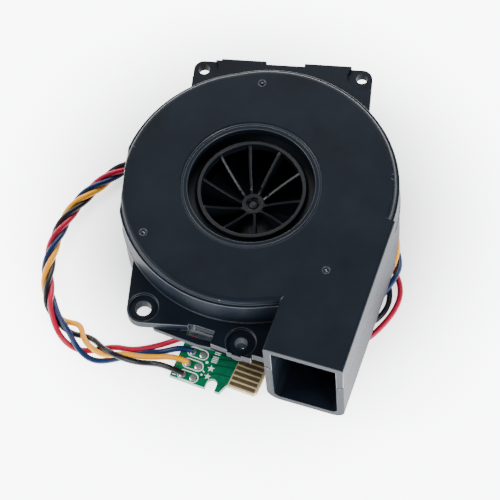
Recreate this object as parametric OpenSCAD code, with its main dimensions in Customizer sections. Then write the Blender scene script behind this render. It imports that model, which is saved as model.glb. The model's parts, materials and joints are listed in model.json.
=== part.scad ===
// Small centrifugal blower: plastic scroll housing with an ear plate, a ten-blade wheel on an
// outer-rotor motor, and four leads that end on an edge-connector card.
// Millimetres. The wheel turns about Z, the outlet points along -Y, and Z = 0 is the surface
// that the motor cup and the leads stand on.

/* [Housing] */
// Radius of the round part of the scroll
scroll_r = 37.7; // [37:0.1:39]
// Radius of the growing part of the scroll
volute_r = 37.9; // [37.5:0.1:39]
// Height of the housing's top face
top_z = 36; // [35:0.5:38]
// Height of the joint between base and cover, which is also the top of the ear plate
joint_z = 24.5; // [24:0.5:26]
// Height of the housing's underside
base_z = 4.7; // [4.5:0.1:5]
// Thickness of the housing walls
wall = 2.2; // [1.8:0.1:2.4]
// Radius of the inlet hole
inlet_r = 18; // [17:0.5:19]

/* [Outlet] */
// Width of the outlet duct outside
duct_w = 22.9; // [22:0.1:24]
// Distance from the axis to the outlet face
duct_reach = 47.4; // [46:0.2:50]

/* [Ear plate] */
// Turn of the ear plate and its holes against the outlet
plate_turn = 12.8; // [10:0.2:15]
// Thickness of the ear plate
plate_t = 3; // [2.5:0.5:4]
// Radius of the large ear hole
ear_hole_r = 2.2; // [2:0.1:2.4]
// Radius of the three smaller ear holes
small_hole_r = 1.7; // [1.5:0.1:1.9]

/* [Wheel] */
// Number of blades
blades = 10; // [7:1:12]
// Outer radius of the wheel
wheel_r = 31.3; // [30:0.1:31.5]
// Inner radius of the wheel's eye ring
eye_r = 14.3; // [14:0.1:15]
// Thickness of a blade
blade_t = 0.8; // [0.6:0.1:1]

/* [Motor] */
// Outer radius of the stator
stator_r = 12.6; // [12:0.1:12.7]
// Number of stator teeth
teeth = 6; // [3:3:6]

/* [Leads and card] */
// Outside diameter of one lead
lead_d = 1.7; // [1.5:0.1:1.8]
// Diameter over the twisted leads
bundle_d = 4.1; // [3.8:0.1:4.2]
// Thickness of the connector card
card_t = 1.6; // [1:0.2:1.6]
// Length of the connector card
card_l = 25.4; // [25:0.1:26]

/* [Hidden] */
// a round solid is a true circle at this setting
$fn = 96;
// gap left between neighbouring pieces of one body
gap = 0.05;

plastic = [0.13, 0.15, 0.19];
steel = [0.72, 0.73, 0.75];

// scroll: a second circle moved off the axis gives the growing channel
volute_at = [3.4, 1.6];
// left flat of the scroll, measured in the turned plate's own X
flat_x = -36.2;
duct_x = 19.1;
duct_back = 0.7;
ledge_in = 0.9;
ledge_drop = 1.8;
top_round = 1.5;
lip_out = 0.25;
lip_h = 0.5;
foot_round = 4;
duct_round = 0.8;
tongue_h = 1;
collar_z = 33.5;
seal_r = 20.4;
gates = [[-7.5, 32.2], [-24, -23.1], [28.3, -19.4]];

// ear plate, in its own turned axes
plate_z = joint_z - plate_t;
ear_drop = 1;
ear_boss_z = joint_z - 4.4;
ear_ring_r = 4.3;
ears = [[-18.9, 43.9], [27.4, 43.9], [0.9, -43.4], [-27.4, -34.8]];
window = [[-5.1, -43.2], [2.6, -41.3]];
shelf_z = ear_boss_z + 1.6;

// motor cup under the housing, with the driver board and the bottom plate in it
cup_r = 19;
cup_in = 16;
lid_r = 16.9;
lid_t = 1.2;
board_z = 2.6;
board_t = 1;
board_r = 15.7;
post_ring = 13.4;
post_turn = 50;
floor_z = base_z + wall;
shaft_r = 1.5;
tube_r = 5;
bearing_r = 4;
bearing_h = 4;
lower_bearing_z = 4.75;
upper_bearing_z = 14.6;
exit_turn = -30;
exit_r = 20.6;
lead_pitch = 2;

// rotor and wheel
boss_r = 3.2;
boss_z = 24.5;
bush_r = 2.5;
rotor_cup_r = 14.9;
rotor_cup_z = 8.3;
rotor_top_z = 20.4;
dome_z = 21.9;
disc_z = 8.6;
disc_t = 1.2;
shroud_z = 30.2;
eye_z = 33.3;
blade_curve_r = 85;
blade_centre = [6.4, -84.67];
blade_phase = 2.5;

// stator
core_z = 9.5;
core_h = 7;
bore_r = 5.05;

// connector card, in its own turned axes from its lower left corner
card_at = [-10.2, -48.3];
card_turn = -3.8;
card_w = 15.2;
row_pitch = 3.81;
first_row = 1.6;
columns = [3.4, 6.6];
finger_pitch = 1.7;
finger_w = 1.15;

// routes of the leads from the driver board to the card, heights above the ground: they leave the
// cup side by side, turn back beside the right wall, twist into one bundle behind the cup, and
// part again near the card
yellow_motor = [
    [12.4, -3.7, 2.25], [19.3, -7.7, 2.25], [23, -9.4, 1.6], [27.5, -10.2, 0.9], [31.8, -9.8, 0.9],
    [35.4, -7.6, 1.4], [38.2, -3.6, 2.5], [40, 0.4, 2.7], [40.6, 4, 2.7], [40.3, 8.2, 2.7],
    [38.8, 12.4, 2.7], [36, 16.2, 2.8], [33.2, 18.6, 2.9], [30.6, 20, 2.9]];
blue_motor = [
    [11.4, -5.4, 2.25], [18.3, -9.4, 2.25], [22.2, -11.6, 1.4], [27, -13.4, 0.9], [32, -13.8, 0.9],
    [36.4, -12.2, 0.9], [39.4, -8.6, 1.6], [41.2, -4, 2.7], [42.3, 0.4, 2.7], [42.2, 4.2, 1.5],
    [40.8, 7.8, 0.9], [38.2, 11.6, 0.9], [35.2, 15.4, 0.9], [30.6, 20, 1.2]];
black_motor = [
    [10.4, -7.2, 2.25], [17.3, -11.2, 2.25], [21.2, -13.6, 1.2], [26, -16.4, 0.9], [31.4, -18.2, 0.9],
    [36.2, -17.8, 0.9], [40, -15, 0.9], [42.2, -11, 0.9], [42.6, -7.2, 0.9], [41.5, -3.4, 0.9],
    [39.2, 0.4, 0.9], [36.8, 4.8, 0.9], [34.4, 9.6, 1.2], [32, 14.4, 2.6], [29.4, 18.7, 2.9]];
red_motor = [
    [9.4, -8.9, 2.25], [16.3, -12.9, 2.25], [20.2, -15.4, 1.2], [25, -19, 0.9], [30.4, -22, 0.9],
    [35.6, -23, 0.9], [39.8, -20.8, 0.9], [42.6, -16, 0.9], [44.6, -10.6, 0.9], [45.2, -5.6, 0.9],
    [44.2, -1.6, 0.9], [41.6, 2.2, 0.9], [38.8, 6.2, 0.9], [36, 10.6, 0.9], [32.8, 15.2, 0.9],
    [29.4, 18.7, 1.2]];
bundle_route = [
    [30, 19.3, 2.05], [22.4, 25.6, 2.05], [13, 30.4, 2.05], [3, 32.4, 2.05], [-7, 32, 2.05],
    [-17, 29.4, 2.05], [-26.4, 25, 2.05], [-36, 18.8, 2.05], [-45, 11.7, 2.05], [-51, 3, 2.05],
    [-54.9, -5.4, 2.05], [-56.5, -14, 2.05], [-56.2, -22, 2.05], [-54.2, -30.4, 2.05],
    [-49.2, -40, 2.05]];
yellow_card = [
    [-48.5, -39.5, 1.2], [-46.2, -40.8, 0.9], [-43.8, -41, 0.9], [-41.4, -40.5, 0.9],
    [-39.6, -41.4, 0.9], [-38.6, -43.4, 0.9], [-36.8, -45.7, 2.4], [-34.2, -47.3, 2.7],
    [-31, -48.4, 2.7], [-28.2, -47.9, 2.7], [-25, -46.4, 2.7], [-21, -45.3, 1.3], [-16.5, -44, 0.9],
    [-12.2, -43.2, 2.3], [-9.8, -43.1, 2.8], [-7.6, -43.1, 2.7],
    [-6.3, -43.1, 2.1]];
blue_card = [
    [-48.5, -39.5, 2.9], [-46.2, -41.2, 2.7], [-43.4, -43.4, 2.7], [-41.1, -45.6, 2.2],
    [-38.9, -47.8, 2.6], [-36.2, -49.4, 1.4], [-33.4, -50.1, 0.9], [-30.6, -49.8, 0.9],
    [-27.4, -48.2, 0.9], [-23.6, -45.8, 0.9], [-19.4, -43.5, 0.9], [-15, -41.9, 0.9],
    [-12, -40.7, 2.2], [-9.8, -39.9, 2.8], [-7.4, -39.4, 2.7], [-6.1, -39.3, 2.1]];
black_card = [
    [-49.9, -40.5, 1.2], [-46.6, -42, 0.9], [-43.4, -43.5, 0.9], [-40.4, -44.1, 0.9],
    [-37.2, -43.6, 0.9], [-34.4, -44.2, 1], [-32, -46, 2.7], [-29.8, -47.3, 3.8],
    [-27.4, -47.9, 4.4], [-24.2, -47.9, 3], [-20, -46.9, 0.9], [-16, -45.9, 0.9],
    [-12.6, -46.2, 2.3], [-10.2, -46.6, 2.8], [-7.8, -46.9, 2.7], [-6.6, -46.9, 2.1]];
red_card = [
    [-49.9, -40.5, 2.9], [-47.2, -43.2, 2.2], [-44.4, -45.8, 0.9], [-41.8, -47.4, 0.9],
    [-38.4, -48.4, 0.9], [-34.4, -47.5, 0.9], [-31, -45.6, 0.9], [-27.8, -44.2, 0.9],
    [-23.6, -43.8, 0.9], [-18.8, -41.6, 0.9], [-14.6, -38.9, 0.9], [-11.4, -37.2, 2.3], [-9.4, -36.2, 2.8],
    [-7.1, -35.5, 2.7], [-5.9, -35.4, 2.1]];

// Node to draw

// ---- helpers ----

// tube of given z span
module ring(r_out, r_in, z0, z1) {
    translate([0, 0, z0])
        difference() {
            cylinder(r = r_out, h = z1 - z0);
            translate([0, 0, -1])
                cylinder(r = r_in, h = z1 - z0 + 2);
        }
}

module disc(r, z0, z1) {
    translate([0, 0, z0])
        cylinder(r = r, h = z1 - z0);
}

// copies its children at each of a list of plan points
module at_each(points) {
    for (p = points)
        translate([p[0], p[1], 0])
            children();
}

// copies its children round the axis
module round_axis(count, phase = 0) {
    for (i = [0 : count - 1])
        rotate([0, 0, phase + i * 360 / count])
            children();
}

// solid of revolution with its lower edge rounded
module round_foot(centre, r, z0, z1, f) {
    translate([centre[0], centre[1], z0])
        rotate_extrude() {
            square([r - f, z1 - z0]);
            translate([0, f])
                square([r, z1 - z0 - f]);
            translate([r - f, f])
                intersection() {
                    circle(r = f);
                    translate([-f, -f])
                        square([2 * f, 1.5 * f]);
                }
        }
}

// solid of revolution with a lip at its foot, a ledge and a rounded upper edge
module ledged_top(centre, r, z0, z1) {
    translate([centre[0], centre[1], z0])
        rotate_extrude() {
            square([r, z1 - z0 - ledge_drop]);
            square([r + lip_out, lip_h]);
            square([r - ledge_in - top_round, z1 - z0]);
            square([r - ledge_in, z1 - z0 - top_round]);
            translate([r - ledge_in - top_round, z1 - z0 - top_round])
                circle(r = top_round);
        }
}

// straight block along Y with two edges rounded, the lower pair or the upper pair
module duct_block(grow, z0, z1, f, lower, open) {
    w = duct_w + 2 * grow;
    h = z1 - z0;
    y = lower ? f : 0;
    translate([duct_x - grow, duct_back, z0])
        rotate([90, 0, 0])
            linear_extrude(height = duct_reach + duct_back + open) {
                translate([0, y])
                    square([w, h - f]);
                translate([f, 0])
                    square([w - 2 * f, h]);
                for (x = [f, w - f])
                    translate([x, lower ? f : h - f])
                        circle(r = f);
            }
}

// everything beyond the left flat of the scroll
module flat_cut(grow) {
    rotate([0, 0, plate_turn])
        translate([flat_x - grow - 20, -60, -1])
            cube([20, 120, top_z + 2]);
}

// plan of the housing, grown or shrunk
module housing_plan(grow, open = 0) {
    difference() {
        union() {
            circle(r = scroll_r + grow);
            translate(volute_at)
                circle(r = volute_r + grow);
        }
        rotate(plate_turn)
            translate([flat_x - grow - 20, -60])
                square([20, 120]);
    }
    translate([duct_x - grow, -duct_reach - open])
        square([duct_w + 2 * grow, duct_reach + duct_back + open]);
}

// the air channel, from the housing floor to any height
module channel(z1) {
    difference() {
        union() {
            round_foot([0, 0], scroll_r - wall, floor_z, z1, 2);
            round_foot(volute_at, volute_r - wall, floor_z, z1, 2);
        }
        flat_cut(-wall);
    }
    duct_block(-wall, floor_z, z1, 2, true, 1);
}

// ---- housing ----

// plan of the ears and the band between them, in the plate's own turned axes
module plate_plan() {
    // rear ears
    difference() {
        union() {
            translate([-21.9, 0])
                square([52.4, 43.7]);
            translate([-18.9, 0])
                square([46.4, 46.7]);
            for (x = [-18.9, 27.5])
                translate([x, 43.7])
                    circle(r = 3);
            for (x = [[-13.9, 13.2], [10.4, 13.8]])
                translate([x[0], 0])
                    square([x[1], 47.2]);
        }
        translate([-0.7, 46.3])
            square([11.1, 2]);
    }
    // front left ear
    translate([-27.6, -39.7])
        square([15, 20]);
    translate([-32, -35.3])
        square([20, 16]);
    translate([-27.6, -35.3])
        circle(r = 4.4);
    // front edge up to the window
    polygon([[-14.3, -20], [-24.8, -38.9], [-14, -38.9], [-6.7, -40.8], [10, -20]]);
}

// front edge between the window and the duct, along the card
module front_plan() {
    polygon([
        [window[1][0], -25], [window[1][0], -45.2], [7.6, -45.6], [7.6, -46.2], [14.8, -46.2],
        [14.8, -45], [duct_x + 1, -45], [duct_x + 1, -25]]);
}

// lower shelf in front of the plate, which closes the window's front
module front_shelf() {
    translate([0, 0, ear_boss_z])
        linear_extrude(height = shelf_z - ear_boss_z)
            polygon([
                [-16, -36], [-16, -43], [-14.5, -44.3], [-1.5, -45.4], [window[1][0] + 1, -45.1],
                [window[1][0] + 1, -36]]);
}

module ear_plate() {
    difference() {
        union() {
            translate([0, 0, plate_z])
                linear_extrude(height = plate_t) {
                    rotate(plate_turn)
                        plate_plan();
                    front_plan();
                }
            rotate([0, 0, plate_turn])
                for (e = ears)
                    translate([e[0], e[1], ear_boss_z])
                        cylinder(r = e[1] > 40 ? 2.8 : ear_ring_r - 0.4, h = 2);
            front_shelf();
        }
        rotate([0, 0, plate_turn])
            for (e = ears) {
                translate([e[0], e[1], joint_z - ear_drop])
                    cylinder(r = ear_ring_r, h = ear_drop + 1);
                translate([e[0], e[1], ear_boss_z - 1])
                    cylinder(r = e[0] < -20 ? ear_hole_r : small_hole_r, h = 8);
            }
        translate([window[0][0], window[0][1], ear_boss_z - 1])
            cube([window[1][0] - window[0][0], window[1][1] - window[0][1], 8]);
        translate([-8.8, -42.6, shelf_z - 1])
            cube([1.6, 0.9, 1.1]);
    }
}

module base_housing() {
    color(plastic)
        difference() {
            union() {
                difference() {
                    union() {
                        round_foot([0, 0], scroll_r, base_z, joint_z - gap, foot_round);
                        round_foot(volute_at, volute_r, base_z, joint_z - gap, foot_round);
                    }
                    flat_cut(0);
                }
                duct_block(0, base_z, joint_z, foot_round, true, 0);
                ear_plate();
                // motor cup
                ring(cup_r, cup_in, 0, base_z + 1);
                round_axis(3, post_turn)
                    translate([post_ring, 0, board_z + board_t + gap])
                        cylinder(r = 1.6, h = 2);
            }
            difference() {
                channel(joint_z + 1);
                // collar that carries the bearing tube
                disc(tube_r + 1.3, floor_z - 1, floor_z + 1.8);
            }
            // rebate for the cover's tongue
            translate([0, 0, joint_z - tongue_h - gap])
                linear_extrude(height = 3)
                    housing_plan(-wall / 2, 1);
            // bore of the bearing tube, recess of the bottom plate, board screws
            disc(tube_r + gap, -1, floor_z + 3);
            disc(lid_r + gap, -1, lid_t + gap);
            round_axis(3, post_turn)
                translate([post_ring, 0, 0])
                    cylinder(r = 0.8, h = base_z + 1.4);
            round_axis(3, 15)
                translate([8, 0, base_z - 1])
                    cylinder(r = 0.7, h = wall + 2);
            // slot where the leads leave the cup
            rotate([0, 0, exit_turn])
                translate([10, -4.6, lid_t - 0.1])
                    cube([12, 9.2, 2.2]);
        }
}

module top_cover() {
    color(plastic)
        difference() {
            union() {
                difference() {
                    union() {
                        difference() {
                            union() {
                                ledged_top([0, 0], scroll_r, joint_z, top_z);
                                ledged_top(volute_at, volute_r, joint_z, top_z);
                            }
                            flat_cut(0);
                        }
                        duct_block(0, joint_z, top_z, duct_round, false, 0);
                    }
                    translate([0, 0, joint_z - 1])
                        linear_extrude(height = top_z - wall - joint_z + 1)
                            housing_plan(-wall, 1);
                }
                // tongue along the joint
                translate([0, 0, joint_z - tongue_h])
                    linear_extrude(height = tongue_h + 0.2)
                        difference() {
                            intersection() {
                                housing_plan(-wall / 2 - gap);
                                translate([-60, -duct_reach])
                                    square([120, 120]);
                            }
                            housing_plan(-wall, 1);
                        }
                disc(inlet_r + 1.2, collar_z, top_z - 1);
            }
            disc(inlet_r, collar_z - 2, top_z + 1);
            // seal land round the inlet: lowered ring, fine groove and bevel
            disc(inlet_r + 1.35, top_z - 0.35, top_z + 1);
            ring(inlet_r + 1.65, inlet_r + 1.3, top_z - 0.8, top_z + 1);
            translate([0, 0, top_z - 0.4])
                cylinder(r1 = inlet_r + 1.6, r2 = seal_r, h = 0.41);
            // moulding gate marks
            at_each(gates)
                ring(1, 0.45, top_z - 0.25, top_z + 1);
        }
}

// ---- wheel ----

// one blade in plan, from the boss to the rim
module blade_plan() {
    intersection() {
        translate(blade_centre)
            difference() {
                circle(r = blade_curve_r + blade_t / 2, $fn = 180);
                circle(r = blade_curve_r - blade_t / 2, $fn = 180);
            }
        translate([boss_r - 0.6, -8])
            square([wheel_r, 12]);
        circle(r = wheel_r - 0.15);
    }
}

// the blades' lower edge follows the dome and the disc, their upper edge rises to the eye
module blade_envelope() {
    rotate_extrude()
        polygon([
            [boss_r - 0.8, dome_z - 0.2], [rotor_cup_r + 1.2, dome_z - 0.2],
            [rotor_cup_r + 1.2, disc_z + disc_t - 0.2], [wheel_r + 1, disc_z + disc_t - 0.2],
            [wheel_r + 1, shroud_z], [eye_r, shroud_z], [eye_r, eye_z - 0.5],
            [boss_r, boss_z - 0.2], [boss_r - 0.8, boss_z - 0.2]]);
}

module wheel() {
    color(plastic) {
        // disc, cap over the rotor and boss in one
        rotate_extrude()
            polygon([
                [bush_r + 0.02, rotor_top_z + 0.1], [rotor_cup_r + 0.1, rotor_top_z + 0.1],
                [rotor_cup_r + 0.1, disc_z], [wheel_r, disc_z], [wheel_r, disc_z + disc_t],
                [rotor_cup_r + 1.3, disc_z + disc_t], [rotor_cup_r + 1.3, dome_z - 0.6],
                [rotor_cup_r + 0.7, dome_z], [boss_r, dome_z], [boss_r, boss_z], [2, boss_z],
                [2, boss_z - 0.8], [shaft_r + 0.02, boss_z - 0.8], [shaft_r + 0.02, 23.02],
                [bush_r + 0.02, 23.02]]);
        intersection() {
            blade_envelope();
            translate([0, 0, disc_z])
                linear_extrude(height = 30)
                    round_axis(blades, blade_phase)
                        blade_plan();
        }
    }
}

module wheel_shroud() {
    color(plastic)
        rotate_extrude()
            polygon([
                [eye_r + 0.02, eye_z], [eye_r + 0.02, shroud_z + gap], [wheel_r, shroud_z + gap],
                [wheel_r, shroud_z + 1], [eye_r + 2.2, shroud_z + 1], [eye_r + 1.4, shroud_z + 1.4],
                [eye_r + 1.1, shroud_z + 2.2], [eye_r + 1.1, eye_z]]);
}

// ---- rotor ----

module rotor_cup() {
    color(steel) {
        ring(rotor_cup_r, rotor_cup_r - 0.7, rotor_cup_z, rotor_top_z);
        ring(rotor_cup_r - 0.1, bush_r, rotor_top_z - 0.7, rotor_top_z);
    }
}

module rotor_magnet() {
    color([0.2, 0.18, 0.17])
        ring(rotor_cup_r - 0.7, stator_r + 0.4, rotor_cup_z + 0.6, core_z + core_h + 0.6);
}

module rotor_bush() {
    color([0.75, 0.6, 0.3])
        ring(bush_r, shaft_r, rotor_top_z - 1, 23);
}

module motor_shaft() {
    color(steel)
        rotate_extrude()
            polygon([
                [0, 2], [1.2, 2], [shaft_r, 2.3], [shaft_r, 4.1], [1.2, 4.1], [1.2, 4.7],
                [shaft_r, 4.7], [shaft_r, 23.4], [1.1, 23.8], [0.6, 24], [0, 24.05]]);
}

module shaft_clip() {
    color(steel)
        difference() {
            ring(2.9, 1.2, 4.15, 4.65);
            translate([0, -0.9, 4])
                cube([4, 1.8, 1]);
        }
}

module preload_washer() {
    color(steel)
        rotate_extrude()
            polygon([[1.55, 18.65], [1.85, 18.65], [2.4, 19.35], [2.1, 19.35]]);
}

// ---- bearings ----

module bearing_tube() {
    color([0.75, 0.6, 0.3]) {
        ring(tube_r, bearing_r, base_z, 19);
        ring(bearing_r + 0.5, bearing_r - 0.7, 10, 14);
    }
}

module outer_race(z) {
    color(steel)
        difference() {
            ring(bearing_r, bearing_r - 0.75, z, z + bearing_h - 0.1);
            translate([0, 0, z + bearing_h / 2])
                rotate_extrude()
                    translate([2.75, 0])
                        circle(r = 0.74);
        }
}

module inner_race(z) {
    color(steel)
        difference() {
            ring(2.25, shaft_r, z, z + bearing_h - 0.1);
            translate([0, 0, z + bearing_h / 2])
                rotate_extrude()
                    translate([2.75, 0])
                        circle(r = 0.74);
        }
}

module balls(z) {
    color(steel)
        round_axis(7)
            translate([2.75, 0, z + bearing_h / 2])
                sphere(r = 0.7, $fn = 32);
}

// ---- stator ----

// lamination plan: hub ring, teeth and curved tips
module core_plan() {
    difference() {
        circle(r = 7.2);
        circle(r = bore_r);
    }
    intersection() {
        round_axis(teeth, 15)
            union() {
                translate([6, -1.3])
                    square([6, 2.6]);
                polygon([
                    [11.4, -4.4], [13.5, -4.8], [13.5, 4.8], [11.4, 4.4], [10.9, 1.3],
                    [10.9, -1.3]]);
            }
        circle(r = stator_r);
    }
}

module stator_core() {
    color([0.45, 0.45, 0.47])
        translate([0, 0, core_z])
            linear_extrude(height = core_h)
                core_plan();
}

module stator_insulators() {
    color([0.92, 0.9, 0.84]) {
        for (z = [core_z - 0.6, core_z + core_h + gap])
            translate([0, 0, z])
                linear_extrude(height = 0.55)
                    core_plan();
        ring(6.8, 5.1, core_z - 0.75, core_z - 0.6);
    }
}

module stator_coils() {
    color([0.72, 0.38, 0.16])
        round_axis(teeth, 15)
            difference() {
                translate([7.7, -2.2, core_z - 1.5])
                    cube([2.9, 4.4, core_h + 3]);
                translate([7, -1.4, core_z - 0.65])
                    cube([5, 2.8, core_h + 1.3]);
            }
}

module winding_pins() {
    color([0.75, 0.6, 0.3])
        round_axis(3, 15)
            translate([8, 0, board_z])
                cylinder(r = 0.35, h = core_z - 1.55 - board_z);
}

// ---- driver board and bottom plate ----

module driver_board() {
    color([0.05, 0.35, 0.2])
        difference() {
            ring(board_r, 5.8, board_z, board_z + board_t);
            round_axis(3, post_turn)
                translate([post_ring, 0, 0])
                    cylinder(r = 0.9, h = 9);
            round_axis(3, 15)
                translate([8, 0, 0])
                    cylinder(r = 0.4, h = 9);
            // notch that the leads lie in
            rotate([0, 0, exit_turn])
                translate([12.4, -4.3, 0])
                    cube([6, 8.6, 9]);
        }
}

// tubes on the screws that hold the board up against its posts
module board_spacers() {
    color([0.75, 0.6, 0.3])
        round_axis(3, post_turn)
            translate([post_ring, 0, 0])
                ring(1.5, 0.85, lid_t + gap, board_z);
}

// chips and chip capacitors on the underside
module board_parts() {
    color([0.1, 0.1, 0.11]) {
        translate([-10.8, -2.5, board_z - 1.1])
            cube([4, 5, 1.1]);
        translate([-4, 8.5, board_z - 1])
            cube([3.2, 1.6, 1]);
        translate([1, 9.5, board_z - 1])
            cube([3.2, 1.6, 1]);
        translate([-6, -11, board_z - 0.9])
            cube([2, 1.2, 0.9]);
        translate([-2.5, -11.5, board_z - 0.9])
            cube([2, 1.2, 0.9]);
    }
}

module hall_sensor() {
    color([0.1, 0.1, 0.11])
        rotate([0, 0, 110])
            translate([12.2, -1.5, board_z + board_t])
                cube([1.4, 3, 1]);
}

module bottom_plate() {
    color(steel)
        difference() {
            disc(lid_r, 0, lid_t);
            round_axis(3, post_turn)
                translate([post_ring, 0, 0]) {
                    disc(0.9, -1, 3);
                    disc(1.7, -1, 0.7);
                }
        }
}

module plate_screws() {
    color(steel)
        round_axis(3, post_turn)
            translate([post_ring, 0, 0])
                difference() {
                    union() {
                        disc(1.6, 0.1, 0.7);
                        disc(0.75, 0.1, base_z + 1.2);
                    }
                    for (turn = [0, 90])
                        rotate([0, 0, turn])
                            translate([-0.9, -0.15, -1])
                                cube([1.8, 0.3, 1.35]);
                }
}

// ---- leads ----

// soft block that holds the four leads where they leave the cup
module lead_clamp() {
    color([0.1, 0.1, 0.1])
        rotate([0, 0, exit_turn])
            difference() {
                translate([cup_in + 0.3, -4.5, lid_t + gap])
                    cube([exit_r - cup_in - 0.3, 9, 1.95]);
                for (i = [-1.5 : 1.5])
                    translate([cup_in - 1, i * lead_pitch, lid_t + 1.05])
                        rotate([0, 90, 0])
                            cylinder(r = 0.86, h = exit_r - cup_in + 2, $fn = 32);
            }
}

// bare ends of the leads, soldered under the board
module lead_tails() {
    color([0.85, 0.85, 0.86])
        rotate([0, 0, exit_turn])
            for (i = [-1.5 : 1.5])
                translate([10.6, i * lead_pitch, lid_t + 1.05]) {
                    rotate([0, 90, 0])
                        cylinder(r = 0.3, h = 1.9, $fn = 32);
                    translate([0, -0.6, -0.3])
                        cube([1.4, 1.2, 0.65]);
                }
}

function unit(v) = v / norm(v);

// direction of travel at a point of a route
function heading(route, i) =
    unit(route[min(i + 1, len(route) - 1)] - route[max(i - 1, 0)]);

// ring of points about one point of a route, square to its direction
function route_ring(route, i, r, sides) =
    let (d = heading(route, i), side = unit(cross([0, 0, 1], d)), up = cross(d, side))
    [for (k = [0 : sides - 1])
        route[i] + r * (cos((k + 0.5) * 360 / sides) * side + sin((k + 0.5) * 360 / sides) * up)];

// closed tube swept along a route, one ring at each of its points
module tube(route, d, sides = 8) {
    n = len(route);
    rings = [for (i = [0 : n - 1]) each route_ring(route, i, d / 2, sides)];
    skin = [for (i = [0 : n - 2], k = [0 : sides - 1])
        let (a = i * sides + k, b = i * sides + (k + 1) % sides)
        [a, a + sides, b + sides, b]];
    first = [for (k = [0 : sides - 1]) k];
    last = [for (k = [sides - 1 : -1 : 0]) (n - 1) * sides + k];
    polyhedron(points = rings, faces = concat(skin, [first, last]), convexity = 6);
}

module lead(motor_route, card_route, tint) {
    color(tint) {
        tube(motor_route, lead_d);
        tube(card_route, lead_d);
    }
}

module lead_bundle() {
    color([0.35, 0.3, 0.3])
        tube(bundle_route, bundle_d);
}

// ---- connector card ----

module on_card() {
    translate([card_at[0], card_at[1], 0])
        rotate([0, 0, card_turn])
            children();
}

// plated holes of the card, four rows by two columns
module at_pads() {
    for (row = [0 : 3], x = columns)
        translate([x, first_row + row * row_pitch, 0])
            children();
}

module connector_card() {
    color([0, 0.43, 0.24])
        on_card()
            difference() {
                linear_extrude(height = card_t)
                    difference() {
                        polygon([
                            [0, 0], [15.2, 0], [16.4, 3], [card_l - 1, 3], [card_l, 4],
                            [card_l, card_w], [0, card_w]]);
                        translate([10.8, -1])
                            square([3, 2.9]);
                        translate([12.3, 1.9])
                            circle(r = 1.5);
                    }
                at_pads()
                    disc(0.5, -1, card_t + 1);
            }
}

module contact_fingers() {
    color([0.62, 0.5, 0.3])
        on_card()
            for (i = [0 : 6])
                translate([17, 3.5 + i * finger_pitch, card_t])
                    cube([7.7, finger_w, 0.06]);
}

// solder in the plated holes
module solder_joints() {
    color([0.8, 0.81, 0.82])
        on_card()
            at_pads()
                rotate_extrude()
                    polygon([[0, 0.1], [0.45, 0.1], [0.45, card_t + 0.01], [1, card_t + 0.01],
                        [0.75, card_t + 0.12], [0, card_t + 0.2]]);
}

// printed outline round each pair of pads
module card_print() {
    color([0.95, 0.97, 0.95])
        on_card()
            for (row = [0 : 3])
                translate([0, first_row + row * row_pitch, card_t])
                    linear_extrude(height = 0.03)
                        difference() {
                            pad_oval(1.6);
                            pad_oval(1.3);
                        }
}

module pad_oval(r) {
    translate([columns[0], -r])
        square([columns[1] - columns[0], 2 * r]);
    for (x = columns)
        translate([x, 0])
            circle(r = r);
}

// ---- what to draw ----

base_housing();
top_cover();
wheel();
wheel_shroud();
rotor_cup();
rotor_magnet();
rotor_bush();
motor_shaft();
shaft_clip();
preload_washer();
bearing_tube();
outer_race(upper_bearing_z);  // upper_outer_race
inner_race(upper_bearing_z);  // upper_inner_race
balls(upper_bearing_z);  // upper_balls
outer_race(lower_bearing_z);  // lower_outer_race
inner_race(lower_bearing_z);  // lower_inner_race
balls(lower_bearing_z);  // lower_balls
stator_core();
stator_insulators();
stator_coils();
winding_pins();
driver_board();
board_parts();
hall_sensor();
board_spacers();
bottom_plate();
plate_screws();
lead_clamp();
lead_tails();
lead(black_motor, black_card, [0.12, 0.12, 0.13]);  // lead_black
lead(blue_motor, blue_card, [0.08, 0.24, 0.5]);  // lead_blue
lead(yellow_motor, yellow_card, [0.95, 0.68, 0.2]);  // lead_yellow
lead(red_motor, red_card, [0.8, 0.16, 0.3]);  // lead_red
lead_bundle();
connector_card();
contact_fingers();
solder_joints();
card_print();
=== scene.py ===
"""Small centrifugal blower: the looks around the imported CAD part. Metres, in the part's own frame."""
import json
import math
import bmesh
import bpy
from mathutils import Matrix, Vector


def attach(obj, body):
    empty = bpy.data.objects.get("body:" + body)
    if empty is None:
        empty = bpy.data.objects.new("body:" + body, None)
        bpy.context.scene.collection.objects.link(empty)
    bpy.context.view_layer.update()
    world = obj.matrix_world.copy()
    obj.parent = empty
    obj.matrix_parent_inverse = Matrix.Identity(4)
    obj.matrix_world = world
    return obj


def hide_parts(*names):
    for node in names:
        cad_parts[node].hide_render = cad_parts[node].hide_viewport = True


MM = 0.001
FLOOR_SIZE = 3.0
# the floor glows so that it stays white behind dark plastic; its glow is dimmed near and under
# the housing as a painted shadow, and is full from this far out, in metres
FLOOR_GLOW = 7.5
PAINTED_SHADOW_REACH = (0.028, 0.088)

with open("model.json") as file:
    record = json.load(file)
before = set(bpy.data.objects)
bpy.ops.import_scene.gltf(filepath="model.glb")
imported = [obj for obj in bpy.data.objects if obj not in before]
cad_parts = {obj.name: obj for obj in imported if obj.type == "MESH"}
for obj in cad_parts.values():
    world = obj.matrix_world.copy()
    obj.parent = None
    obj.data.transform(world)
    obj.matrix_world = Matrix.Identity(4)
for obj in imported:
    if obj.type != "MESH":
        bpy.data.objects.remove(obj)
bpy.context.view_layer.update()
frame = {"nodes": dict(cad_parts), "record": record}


# ---- camera ----

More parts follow.
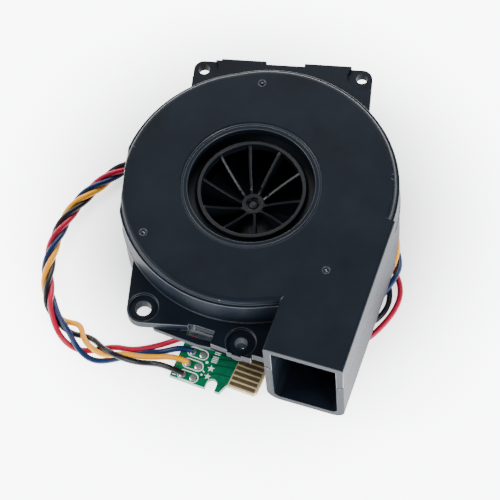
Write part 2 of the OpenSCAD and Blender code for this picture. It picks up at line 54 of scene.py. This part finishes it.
def make_camera():
    """Camera at the photograph's viewing angle, looking down on the blower from its outlet side."""
    azimuth, elevation, roll = math.radians(24.232), math.radians(62.755), math.radians(6.345)
    back = Vector((math.sin(azimuth) * math.cos(elevation),
                   -math.cos(azimuth) * math.cos(elevation), math.sin(elevation)))
    level = Vector((math.cos(azimuth), math.sin(azimuth), 0))
    lift = back.cross(level)
    right = math.cos(roll) * level - math.sin(roll) * lift
    up = math.sin(roll) * level + math.cos(roll) * lift
    data = bpy.data.cameras.new("camera")
    data.lens = 182.9
    data.sensor_width = 36
    camera = bpy.data.objects.new("camera", data)
    bpy.context.scene.collection.objects.link(camera)
    turn = Matrix((right, up, back)).transposed()
    camera.matrix_world = Matrix.Translation(Vector((138.3, -313.0, 660.6)) * MM) @ turn.to_4x4()
    bpy.context.scene.camera = camera


make_camera()


# ---- materials ----

def node(tree, kind, **values):
    """New shader node with its plain properties and unlinked inputs set."""
    made = tree.nodes.new(kind)
    for name, value in values.items():
        if name in made.inputs:
            made.inputs[name].default_value = value
        else:
            setattr(made, name, value)
    return made


def material(name, colour, rough, metallic=0.0, vary=0.12, blotch=160, grain=2200, bump=0.15,
             depth=0.02, brushed=None, specular=0.5, coat=0.0, sheen=0.0):
    """Procedural finish: two noises tint the colour and the gloss, and a fine one gives the grain.
    blotch and grain are noise scales per metre, depth is the bump's depth in millimetres."""
    made = bpy.data.materials.new(name)
    made.use_nodes = True
    tree = made.node_tree
    tree.nodes.clear()
    link = tree.links.new
    place = node(tree, "ShaderNodeTexCoord")
    spread = node(tree, "ShaderNodeMapping")
    if brushed:
        spread.inputs["Scale"].default_value = brushed
    link(place.outputs["Object"], spread.inputs["Vector"])
    wide = node(tree, "ShaderNodeTexNoise", Scale=blotch, Detail=4.0, Roughness=0.6)
    fine = node(tree, "ShaderNodeTexNoise", Scale=grain, Detail=3.0, Roughness=0.55)
    for texture in (wide, fine):
        link(spread.outputs["Vector"], texture.inputs["Vector"])
    tint = node(tree, "ShaderNodeValToRGB")
    tint.color_ramp.elements[0].position = 0.3
    tint.color_ramp.elements[1].position = 0.72
    tint.color_ramp.elements[0].color = [c * (1 - vary) for c in colour] + [1]
    tint.color_ramp.elements[1].color = [min(1, c * (1 + vary)) for c in colour] + [1]
    link(wide.outputs["Fac"], tint.inputs["Fac"])
    gloss = node(tree, "ShaderNodeMapRange")
    gloss.inputs["To Min"].default_value = max(0.02, rough - 0.07)
    gloss.inputs["To Max"].default_value = min(1.0, rough + 0.07)
    link(fine.outputs["Fac"], gloss.inputs["Value"])
    relief = node(tree, "ShaderNodeBump", Strength=bump, Distance=depth * MM)
    link(fine.outputs["Fac"], relief.inputs["Height"])
    shader = node(tree, "ShaderNodeBsdfPrincipled")
    shader.inputs["Metallic"].default_value = metallic
    shader.inputs["Specular IOR Level"].default_value = specular
    shader.inputs["Coat Weight"].default_value = coat
    shader.inputs["Coat Roughness"].default_value = 0.15
    shader.inputs["Sheen Weight"].default_value = sheen
    link(tint.outputs["Color"], shader.inputs["Base Color"])
    link(gloss.outputs["Result"], shader.inputs["Roughness"])
    link(relief.outputs["Normal"], shader.inputs["Normal"])
    end = node(tree, "ShaderNodeOutputMaterial")
    link(shader.outputs["BSDF"], end.inputs["Surface"])
    return made


FINISH = {
    "housing_plastic": dict(colour=(0.0038, 0.0066, 0.0115), rough=0.48, bump=0.35, grain=5200,
                            blotch=75, vary=0.3, specular=0.1),
    # paler finish of the housing's rounded edges: partly wear, partly a painted highlight along them
    "worn_plastic": dict(colour=(0.034, 0.042, 0.052), rough=0.34, bump=0.3, grain=5200, specular=0.4),
    "torn_plastic": dict(colour=(0.3, 0.31, 0.33), rough=0.3, bump=0.6, grain=5200),
    "joint_shadow": dict(colour=(0.0015, 0.002, 0.003), rough=0.9, specular=0.0),
    "wheel_plastic": dict(colour=(0.004, 0.0055, 0.008), rough=0.36, bump=0.15, grain=3800,
                          specular=0.3),
    "rotor_steel": dict(colour=(0.55, 0.55, 0.57), rough=0.3, metallic=1.0, brushed=(1, 1, 9)),
    "magnet": dict(colour=(0.07, 0.065, 0.06), rough=0.65, bump=0.4),
    # near-black steel colour darkens the shaft's end in the hub's dimple: painted shade
    "shaft_steel": dict(colour=(0.035, 0.036, 0.04), rough=0.55, metallic=1.0, brushed=(1, 1, 12)),
    "brass": dict(colour=(0.66, 0.46, 0.17), rough=0.28, metallic=1.0, brushed=(1, 1, 8)),
    "bearing_steel": dict(colour=(0.7, 0.71, 0.73), rough=0.12, metallic=1.0, vary=0.05),
    "lamination": dict(colour=(0.22, 0.22, 0.24), rough=0.45, metallic=1.0, brushed=(1, 1, 14)),
    "insulator": dict(colour=(0.78, 0.74, 0.62), rough=0.5),
    "copper": dict(colour=(0.6, 0.2, 0.06), rough=0.3, metallic=0.85, brushed=(1, 1, 10), bump=0.6),
    "board": dict(colour=(0.0, 0.13, 0.055), rough=0.3, vary=0.22, blotch=420, coat=0.4),
    "chip": dict(colour=(0.014, 0.014, 0.016), rough=0.5, bump=0.3),
    "plate_steel": dict(colour=(0.56, 0.57, 0.59), rough=0.36, metallic=1.0, brushed=(1, 14, 1)),
    "screw_steel": dict(colour=(0.45, 0.46, 0.48), rough=0.28, metallic=1.0),
    "clamp_rubber": dict(colour=(0.018, 0.018, 0.018), rough=0.75, bump=0.4),
    "tinned_wire": dict(colour=(0.72, 0.72, 0.74), rough=0.2, metallic=1.0, vary=0.1, bump=0.3),
    "lead_black": dict(colour=(0.006, 0.006, 0.008), rough=0.4, vary=0.1, specular=0.3),
    "lead_blue": dict(colour=(0.002, 0.015, 0.065), rough=0.4, vary=0.12, specular=0.3),
    "lead_yellow": dict(colour=(0.8, 0.32, 0.008), rough=0.42, vary=0.07, specular=0.3),
    "lead_red": dict(colour=(0.36, 0.004, 0.03), rough=0.4, vary=0.1, specular=0.3),
    "gold": dict(colour=(0.17, 0.125, 0.07), rough=0.4, metallic=0.6, vary=0.2, blotch=700),
    "bare_laminate": dict(colour=(0.5, 0.4, 0.21), rough=0.55, vary=0.08, blotch=500),
    "solder": dict(colour=(0.72, 0.73, 0.74), rough=0.3, metallic=0.85, bump=0.5, grain=2600),
    "covered_trace": dict(colour=(0.0, 0.062, 0.035), rough=0.32, vary=0.15, blotch=500, coat=0.4),
    "print": dict(colour=(0.78, 0.86, 0.82), rough=0.6, vary=0.06),
}
MATERIALS = {name: material(name, **facts) for name, facts in FINISH.items()}


def add_mesh(name, mesh, *finishes):
    """New object from a bmesh, with its finishes."""
    data = bpy.data.meshes.new(name)
    mesh.to_mesh(data)
    mesh.free()
    for finish in finishes:
        data.materials.append(MATERIALS[finish])
    made = bpy.data.objects.new(name, data)
    bpy.context.scene.collection.objects.link(made)
    return made


def add_detail(name, mesh, finish):
    """New visual piece that stays with the housing."""
    bmesh.ops.recalc_face_normals(mesh, faces=mesh.faces)
    made = add_mesh(name, mesh, finish)
    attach(made, "blower")
    return made


# ---- the four leads ----

# routes from the driver board to where the leads twist together, in millimetres
MOTOR_ROUTES = {
    "yellow": [
        (12.4, -3.7, 2.25), (19.3, -7.7, 2.25), (23, -9.4, 1.6), (27.5, -10.2, 0.9), (31.8, -9.8, 0.9),
        (35.4, -7.6, 1.4), (38.2, -3.6, 2.5), (40, 0.4, 2.7), (40.6, 4, 2.7), (40.3, 8.2, 2.7),
        (38.8, 12.4, 2.7), (36, 16.2, 2.8), (33.2, 18.6, 2.9),
    ],
    "blue": [
        (11.4, -5.4, 2.25), (18.3, -9.4, 2.25), (22.2, -11.6, 1.4), (27, -13.4, 0.9), (32, -13.8, 0.9),
        (36.4, -12.2, 0.9), (39.4, -8.6, 1.6), (41.2, -4, 2.7), (42.3, 0.4, 2.7), (42.2, 4.2, 1.5),
        (40.8, 7.8, 0.9), (38.2, 11.6, 0.9), (35.2, 15.4, 0.9),
    ],
    "black": [
        (10.4, -7.2, 2.25), (17.3, -11.2, 2.25), (21.2, -13.6, 1.2), (26, -16.4, 0.9), (31.4, -18.2, 0.9),
        (36.2, -17.8, 0.9), (40, -15, 0.9), (42.2, -11, 0.9), (42.6, -7.2, 0.9), (41.5, -3.4, 0.9),
        (39.2, 0.4, 0.9), (36.8, 4.8, 0.9), (34.4, 9.6, 1.2), (32, 14.4, 2.6),
    ],
    "red": [
        (9.4, -8.9, 2.25), (16.3, -12.9, 2.25), (20.2, -15.4, 1.2), (25, -19, 0.9), (30.4, -22, 0.9),
        (35.6, -23, 0.9), (39.8, -20.8, 0.9), (42.6, -16, 0.9), (44.6, -10.6, 0.9), (45.2, -5.6, 0.9),
        (44.2, -1.6, 0.9), (41.6, 2.2, 0.9), (38.8, 6.2, 0.9), (36, 10.6, 0.9), (32.8, 15.2, 0.9),
    ],
}
BUNDLE_ROUTE = [
    (30, 19.3, 2.05), (22.4, 25.6, 2.05), (13, 30.4, 2.05), (3, 32.4, 2.05), (-7, 32, 2.05),
    (-17, 29.4, 2.05), (-26.4, 25, 2.05), (-36, 18.8, 2.05), (-45, 11.7, 2.05), (-51, 3, 2.05),
    (-54.9, -5.4, 2.05), (-56.5, -14, 2.05), (-56.2, -22, 2.05), (-54.2, -30.4, 2.05), (-49.2, -40, 2.05),
]
# from where they part to their own holes in the card
CARD_ROUTES = {
    "yellow": [
        (-46.2, -40.8, 0.9), (-43.8, -41, 0.9), (-41.4, -40.5, 0.9), (-39.6, -41.4, 0.9),
        (-38.6, -43.4, 0.9), (-36.8, -45.7, 2.4), (-34.2, -47.3, 2.7), (-31, -48.4, 2.7),
        (-28.2, -47.9, 2.7), (-25, -46.4, 2.7), (-21, -45.3, 1.3), (-16.5, -44, 0.9), (-12.2, -43.2, 2.3),
        (-9.8, -43.1, 2.8), (-7.6, -43.1, 2.7), (-6.3, -43.1, 2.1),
    ],
    "blue": [
        (-46.2, -41.2, 2.7), (-43.4, -43.4, 2.7), (-41.1, -45.6, 2.2), (-38.9, -47.8, 2.6),
        (-36.2, -49.4, 1.4), (-33.4, -50.1, 0.9), (-30.6, -49.8, 0.9), (-27.4, -48.2, 0.9),
        (-23.6, -45.8, 0.9), (-19.4, -43.5, 0.9), (-15, -41.9, 0.9), (-12, -40.7, 2.2),
        (-9.8, -39.9, 2.8), (-7.4, -39.4, 2.7), (-6.1, -39.3, 2.1),
    ],
    "black": [
        (-46.6, -42, 0.9), (-43.4, -43.5, 0.9), (-40.4, -44.1, 0.9), (-37.2, -43.6, 0.9),
        (-34.4, -44.2, 1), (-32, -46, 2.7), (-29.8, -47.3, 3.8), (-27.4, -47.9, 4.4), (-24.2, -47.9, 3),
        (-20, -46.9, 0.9), (-16, -45.9, 0.9), (-12.6, -46.2, 2.3), (-10.2, -46.6, 2.8),
        (-7.8, -46.9, 2.7), (-6.6, -46.9, 2.1),
    ],
    "red": [
        (-47.2, -43.2, 2.2), (-44.4, -45.8, 0.9), (-41.8, -47.4, 0.9), (-38.4, -48.4, 0.9),
        (-34.4, -47.5, 0.9), (-31, -45.6, 0.9), (-27.8, -44.2, 0.9), (-23.6, -43.8, 0.9),
        (-18.8, -41.6, 0.9), (-14.6, -38.9, 0.9), (-11.4, -37.2, 2.3), (-9.4, -36.2, 2.8),
        (-7.1, -35.5, 2.7), (-5.9, -35.4, 2.1),
    ],
}
LEAD_D = 1.7
# leads touch round the middle of the bundle, and keep this order round it
TWIST_R = 1.2
TWIST_START = {"black": 45, "yellow": 135, "blue": 225, "red": 315}
TWIST_TURNS = 5.5
# the lay runs a little late in the middle of the bundle, in degrees
TWIST_LAG = 50


def smooth(points, step=0.8):
    """Points every step millimetres or so on a smooth curve through the given ones."""
    points = [Vector(p) for p in points]
    padded = [2 * points[0] - points[1]] + points + [2 * points[-1] - points[-2]]
    out = []
    for a, b, c, d in zip(padded, padded[1:], padded[2:], padded[3:]):
        count = max(2, round((c - b).length / step))
        for i in range(count):
            t = i / count
            out.append(0.5 * (2 * b + (c - a) * t + (2 * a - 5 * b + 4 * c - d) * t ** 2
                              + (3 * b - a - 3 * c + d) * t ** 3))
    return out + [points[-1]]


def relaxed(points, passes=6):
    """The same line with its kinks eased and its ends kept."""
    for _ in range(passes):
        points = [points[0]] + [(a + 2 * b + c) / 4 for a, b, c in zip(points, points[1:], points[2:])
                                ] + [points[-1]]
    return points


def twisted(colour):
    """One lead's helix along the bundle's route."""
    middle = smooth(BUNDLE_ROUTE)
    walked = [0.0]
    for a, b in zip(middle, middle[1:]):
        walked.append(walked[-1] + (b - a).length)
    out = []
    for i in range(3, len(middle) - 3, 2):
        along = (middle[i + 1] - middle[i - 1]).normalized()
        side = Vector((0, 0, 1)).cross(along)
        share = walked[i] / walked[-1]
        turned = math.radians(TWIST_START[colour] + TWIST_TURNS * 360 * share
                              - TWIST_LAG * math.sin(math.pi * share))
        out.append(middle[i] + TWIST_R * (math.cos(turned) * side + math.sin(turned) * Vector((0, 0, 1))))
    return out


def lead_line(colour):
    """Whole line of one lead, from the driver board to its hole in the card, in metres."""
    line = smooth(MOTOR_ROUTES[colour] + [tuple(p) for p in twisted(colour)] + CARD_ROUTES[colour])
    return [p * MM for p in relaxed(line)]


def make_lead(colour):
    """One whole lead as a round cord; the red one also stands for the bundle."""
    line = lead_line(colour)
    curve = bpy.data.curves.new("lead_" + colour + "_line", "CURVE")
    curve.dimensions = "3D"
    curve.bevel_depth = LEAD_D / 2 * MM
    curve.bevel_resolution = 5
    curve.use_fill_caps = True
    spline = curve.splines.new("POLY")
    spline.points.add(len(line) - 1)
    for point, place in zip(spline.points, line):
        point.co = (*place, 1)
    spline.use_smooth = True
    lead = bpy.data.objects.new("lead_" + colour + "_full", curve)
    bpy.context.scene.collection.objects.link(lead)
    curve.materials.append(MATERIALS["lead_" + colour])
    stood_for = ["lead_" + colour] + (["lead_bundle"] if colour == "red" else [])
    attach(lead, "blower")
    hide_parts(*stood_for)


# ---- connector card's finish ----

# the card's own corner and turn, in millimetres and degrees, and the height of its upper face
CARD_AT = (-10.2, -48.3)
CARD_TURN = -3.8
CARD_TOP = 1.6


def card_sheet(name, finish, outlines, low, high):
    """Thin flat shapes on the card, each outline in the card's own millimetres."""
    turn = math.radians(CARD_TURN)
    mesh = bmesh.new()
    for outline in outlines:
        rings = [[mesh.verts.new(((CARD_AT[0] + x * math.cos(turn) - y * math.sin(turn)) * MM,
                                  (CARD_AT[1] + x * math.sin(turn) + y * math.cos(turn)) * MM,
                                  z * MM)) for x, y in outline] for z in (low, high)]
        mesh.faces.new(rings[0][::-1])
        mesh.faces.new(rings[1])
        for i in range(len(outline)):
            j = (i + 1) % len(outline)
            mesh.faces.new((rings[0][i], rings[0][j], rings[1][j], rings[1][i]))
    return add_detail(name, mesh, finish)


def strip(points, width):
    """Outline of a band along a line of points."""
    points = [Vector(p) for p in points]
    sides = []
    for i, point in enumerate(points):
        along = (points[min(i + 1, len(points) - 1)] - points[max(i - 1, 0)]).normalized()
        across = Vector((-along.y, along.x)) * width / 2
        sides.append((point + across, point - across))
    return [tuple(a) for a, _ in sides] + [tuple(b) for _, b in sides[::-1]]


def star(x, y, r, points=5):
    """Star outline with blunt arms."""
    return [(x + (r if i % 2 == 0 else 0.42 * r) * math.cos(math.pi * i / points + 0.5),
             y + (r if i % 2 == 0 else 0.42 * r) * math.sin(math.pi * i / points + 0.5))
            for i in range(2 * points)]


def dot(x, y, r, count=12):
    """Outline of a round mark."""
    return [(x + r * math.cos(2 * math.pi * i / count), y + r * math.sin(2 * math.pi * i / count))
            for i in range(count)]


def make_card_finish():
    """Bare laminate round the fingers, traces under the green coating, and plain printed marks."""
    sheets = [card_sheet("card_bare_end", "bare_laminate", [
        [(16.6, 2.97), (24.42, 2.97), (25.43, 3.98), (25.43, 15.23), (17, 15.23)]], -0.02, 1.615)]
    traces = [[(7.6, 13.2), (11.4, 12.9), (17, 12.7)], [(7.6, 9.3), (11.8, 9.8), (17, 11)],
              [(7.6, 9.6), (11.6, 11.1), (17, 11.9)], [(7.6, 5.6), (11.9, 7.8), (17, 8.6)],
              [(7.6, 1.8), (12, 5.2), (17, 5.7)]]
    sheets.append(card_sheet("card_traces", "covered_trace",
                             [strip(t, 0.55) for t in traces], CARD_TOP - 0.01, CARD_TOP + 0.012))
    marks = [strip([(9.5, y), (11.2, y + 0.1)], 0.28) for y in (8.2, 8.75, 9.3, 9.85, 10.8, 11.35, 11.9)]
    marks += [strip([(8.2, 4.9), (9, 4.3)], 0.3), strip([(0.5, 0.7), (1.6, 0.8)], 0.3)]
    marks += [dot(8.5, 7.5, 0.42), dot(8.5, 3.4, 0.3), star(10.3, 6.1, 1.15), star(10.3, 3.5, 1)]
    sheets.append(card_sheet("card_marks", "print", marks, CARD_TOP - 0.01, CARD_TOP + 0.025))
    return sheets


CARD_FINISH = make_card_finish()
for colour in TWIST_START:
    make_lead(colour)


# ---- CAD pieces with rounded edges, the housing's paler with wear and painted highlight ----

def sharp_wedge(vert, hard, limit=math.radians(40)):
    """Whether two hard edges leave this corner nearly side by side."""
    ways = [(e.other_vert(vert).co - vert.co).normalized() for e in vert.link_edges if e in hard]
    return any(a.angle(b, 0) < limit for i, a in enumerate(ways) for b in ways[:i])


def softened(name, slot, width, body, within, angle=28, segments=2):
    """A new piece with the shape of a CAD node, its flat faces joined and its hard edges within
    a region rounded; rounded edges of the housing's shells are of a paler finish, partly wear and partly a
    painted highlight."""
    pale_edges = slot == "housing_plastic"
    mesh = bmesh.new()
    mesh.from_mesh(frame["nodes"][name].data)
    bmesh.ops.remove_doubles(mesh, verts=mesh.verts, dist=2e-7)
    bmesh.ops.dissolve_limit(mesh, angle_limit=math.radians(0.6), verts=mesh.verts, edges=mesh.edges)
    hard = {e for e in mesh.edges if e.is_manifold and e.calc_face_angle(0) > math.radians(angle)}
    wedges = {v for e in hard for v in e.verts if sharp_wedge(v, hard)}
    hard = [e for e in mesh.edges if e in hard and e.calc_length() > 0.6 * width * MM
            and not wedges.intersection(e.verts) and all(within(v.co / MM) for v in e.verts)]
    bmesh.ops.bevel(mesh, geom=hard, offset=width * MM, offset_type="OFFSET", segments=segments,
                    profile=0.5, affect="EDGES", clamp_overlap=False, harden_normals=False,
                    material=1 if pale_edges else -1)
    bmesh.ops.remove_doubles(mesh, verts=mesh.verts, dist=2e-7)
    piece = add_mesh(name + "_skin", mesh, *([slot, "worn_plastic"] if pale_edges else [slot]))
    for polygon in piece.data.polygons:
        polygon.use_smooth = True
    piece.data.set_sharp_from_angle(angle=math.radians(40))
    weigh = piece.modifiers.new("weigh", "WEIGHTED_NORMAL")
    weigh.keep_sharp = True
    weigh.weight = 90
    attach(piece, body)
    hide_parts(name)


BODY_OF = {n: b for b, members in frame["record"]["behaviour"]["bodies"].items() for n in members}
SLOT_OF = {s["node"]: s["material_slot"] for s in frame["record"]["subparts"]}
# how far back from each hard edge the rounding reaches, in millimetres
EDGE_WIDTH = {"base_housing": 0.18, "top_cover": 0.2, "wheel": 0.12, "wheel_shroud": 0.15,
              "bottom_plate": 0.15, "plate_screws": 0.05}
# axes of the two rear ears' holes, in millimetres
REAR_EARS = [Vector((-28.16, 38.62)), Vector((16.99, 48.88))]


def base_top(place):
    """The upper side of the base; its rear ears and its underside keep crisp edges."""
    return place.z > 20.5 and all((place.xy - ear).length > 6 for ear in REAR_EARS)


def anywhere(place):
    """The whole piece."""
    return True


for name, width in EDGE_WIDTH.items():
    softened(name, SLOT_OF[name], width, BODY_OF[name], base_top if name == "base_housing" else anywhere)
for name, part in frame["nodes"].items():
    if SLOT_OF[name] in MATERIALS and not part.hide_render:
        part.data.materials.clear()
        part.data.materials.append(MATERIALS["solder" if name == "solder_joints" else SLOT_OF[name]])


# ---- lines of the moulded shells: painted shadow and highlight along the joint ----

def ribbon(name, finish, lines, width, out):
    """Thin flat bands along lines of points in millimetres, standing on a wall that faces out."""
    out = Vector(out)
    mesh = bmesh.new()
    for line in lines:
        points = [Vector(p) for p in line]
        rings = []
        for i, point in enumerate(points):
            along = (points[min(i + 1, len(points) - 1)] - points[max(i - 1, 0)]).normalized()
            across = along.cross(out) * width / 2
            rings.append([mesh.verts.new((point + a + b) * MM) for a, b in (
                (across, -0.03 * out), (across, 0.02 * out), (-across, 0.02 * out),
                (-across, -0.03 * out))])
        for first, then in zip(rings, rings[1:]):
            for i in range(4):
                mesh.faces.new((first[i], first[(i + 1) % 4], then[(i + 1) % 4], then[i]))
        mesh.faces.new(rings[0][::-1])
        mesh.faces.new(rings[-1])
    add_detail(name, mesh, finish)


def make_parting():
    """The joint between the shells as bands of painted shadow, straight along the duct's wall and stepped
    across its mouth, with a band of painted highlight above it on the wall.
    """
    ribbon("parting_side", "joint_shadow", [[(42, -47.3, 24.5), (42, 0.6, 24.5)]], 0.4, (1, 0, 0))
    # pale band just above the joint: a painted highlight on the cover's lip
    ribbon("parting_lip_highlight", "worn_plastic", [[(42, -47.3, 24.95), (42, 0.6, 24.95)]], 0.4, (1, 0, 0))
    ribbon("parting_mouth", "joint_shadow", [
        [(19.15, -47.4, 25), (19.9, -47.4, 25), (20.2, -47.4, 24.4), (20.95, -47.4, 24.4)],
        [(40.15, -47.4, 24.3), (40.9, -47.4, 24.3), (41.2, -47.4, 24.9), (41.95, -47.4, 24.9)]],
        0.17, (0, -1, 0))


def make_gate_nubs():
    """Broken-off sprue, a small uneven nub in each of the cover's moulding dimples."""
    mesh = bmesh.new()
    for k, (x, y, turn) in enumerate([(-7.5, 32.2, 0.4), (-24, -23.1, 1.3), (28.3, -19.4, 2.2)]):
        rows = []
        for r, z in ((0.52, 35.62), (0.46, 35.78), (0.3, 35.95), (0.12, 36.02)):
            rows.append([mesh.verts.new((
                (x + r * (1 + 0.25 * math.sin(3 * a + turn + k)) * math.cos(a)) * MM,
                (y + r * (1 + 0.25 * math.cos(2 * a + turn)) * math.sin(a)) * MM,
                (z + 0.05 * math.sin(2 * a + turn)) * MM))
                for a in (math.tau * i / 14 for i in range(14))])
        for low, high in zip(rows, rows[1:]):
            for i in range(14):
                mesh.faces.new((low[i], low[(i + 1) % 14], high[(i + 1) % 14], high[i]))
        mesh.faces.new(rows[0][::-1])
        mesh.faces.new(rows[-1])
    add_detail("gate_nubs", mesh, "torn_plastic")


make_parting()
make_gate_nubs()


# ---- floor and light ----

def make_floor():
    """Large pale sheet that glows, with a painted shadow where its glow is dimmed near and under the
    housing.
    """
    mesh = bmesh.new()
    bmesh.ops.create_grid(mesh, x_segments=24, y_segments=24, size=FLOOR_SIZE / 2)
    floor = add_mesh("floor", mesh)
    # the floor's origin is the centre of its painted shadow
    floor.location = (-0.002, 0.007, -0.0001)
    paper = material("floor_paper", (0.9, 0.905, 0.92), 0.85, vary=0.006, blotch=6, bump=0.0, specular=0.1)
    shader = next(n for n in paper.node_tree.nodes if n.type == "BSDF_PRINCIPLED")
    shader.inputs["Emission Color"].default_value = (0.95, 0.97, 1, 1)
    tree = paper.node_tree
    place = node(tree, "ShaderNodeTexCoord")
    away = node(tree, "ShaderNodeVectorMath", operation="LENGTH")
    tree.links.new(place.outputs["Object"], away.inputs[0])
    # glow dimmed towards the floor's origin: a painted shadow of the housing
    painted_shadow_fade = node(tree, "ShaderNodeMapRange", interpolation_type="SMOOTHSTEP")
    painted_shadow_fade.inputs["From Min"].default_value = PAINTED_SHADOW_REACH[0]
    painted_shadow_fade.inputs["From Max"].default_value = PAINTED_SHADOW_REACH[1]
    painted_shadow_fade.inputs["To Min"].default_value = 0.15
    painted_shadow_fade.inputs["To Max"].default_value = FLOOR_GLOW
    tree.links.new(away.outputs["Value"], painted_shadow_fade.inputs["Value"])
    tree.links.new(painted_shadow_fade.outputs["Result"], shader.inputs["Emission Strength"])
    floor.data.materials.append(paper)


def area_light(name, place, size, power):
    """Rectangular soft box turned towards the blower."""
    data = bpy.data.lights.new(name, "AREA")
    data.shape = "RECTANGLE"
    data.size, data.size_y = size
    data.energy = power
    light = bpy.data.objects.new(name, data)
    light.location = place
    light.rotation_mode = "QUATERNION"
    light.rotation_quaternion = (Vector(place) - Vector((0, 0, 0.02))).to_track_quat("Z", "Y")
    bpy.context.scene.collection.objects.link(light)


def make_light():
    """Dim even room with three large soft boxes."""
    world = bpy.data.worlds.new("room")
    world.use_nodes = True
    world.node_tree.nodes["Background"].inputs["Color"].default_value = (0.93, 0.96, 1, 1)
    world.node_tree.nodes["Background"].inputs["Strength"].default_value = 0.18
    bpy.context.scene.world = world
    area_light("rear_box", (-0.3, 1.0, 0.8), (1.2, 0.4), 22)
    area_light("left_box", (-0.9, -0.3, 0.8), (0.6, 0.6), 15)
    area_light("right_box", (0.9, -0.5, 0.6), (0.6, 0.5), 18)


make_floor()
make_light()
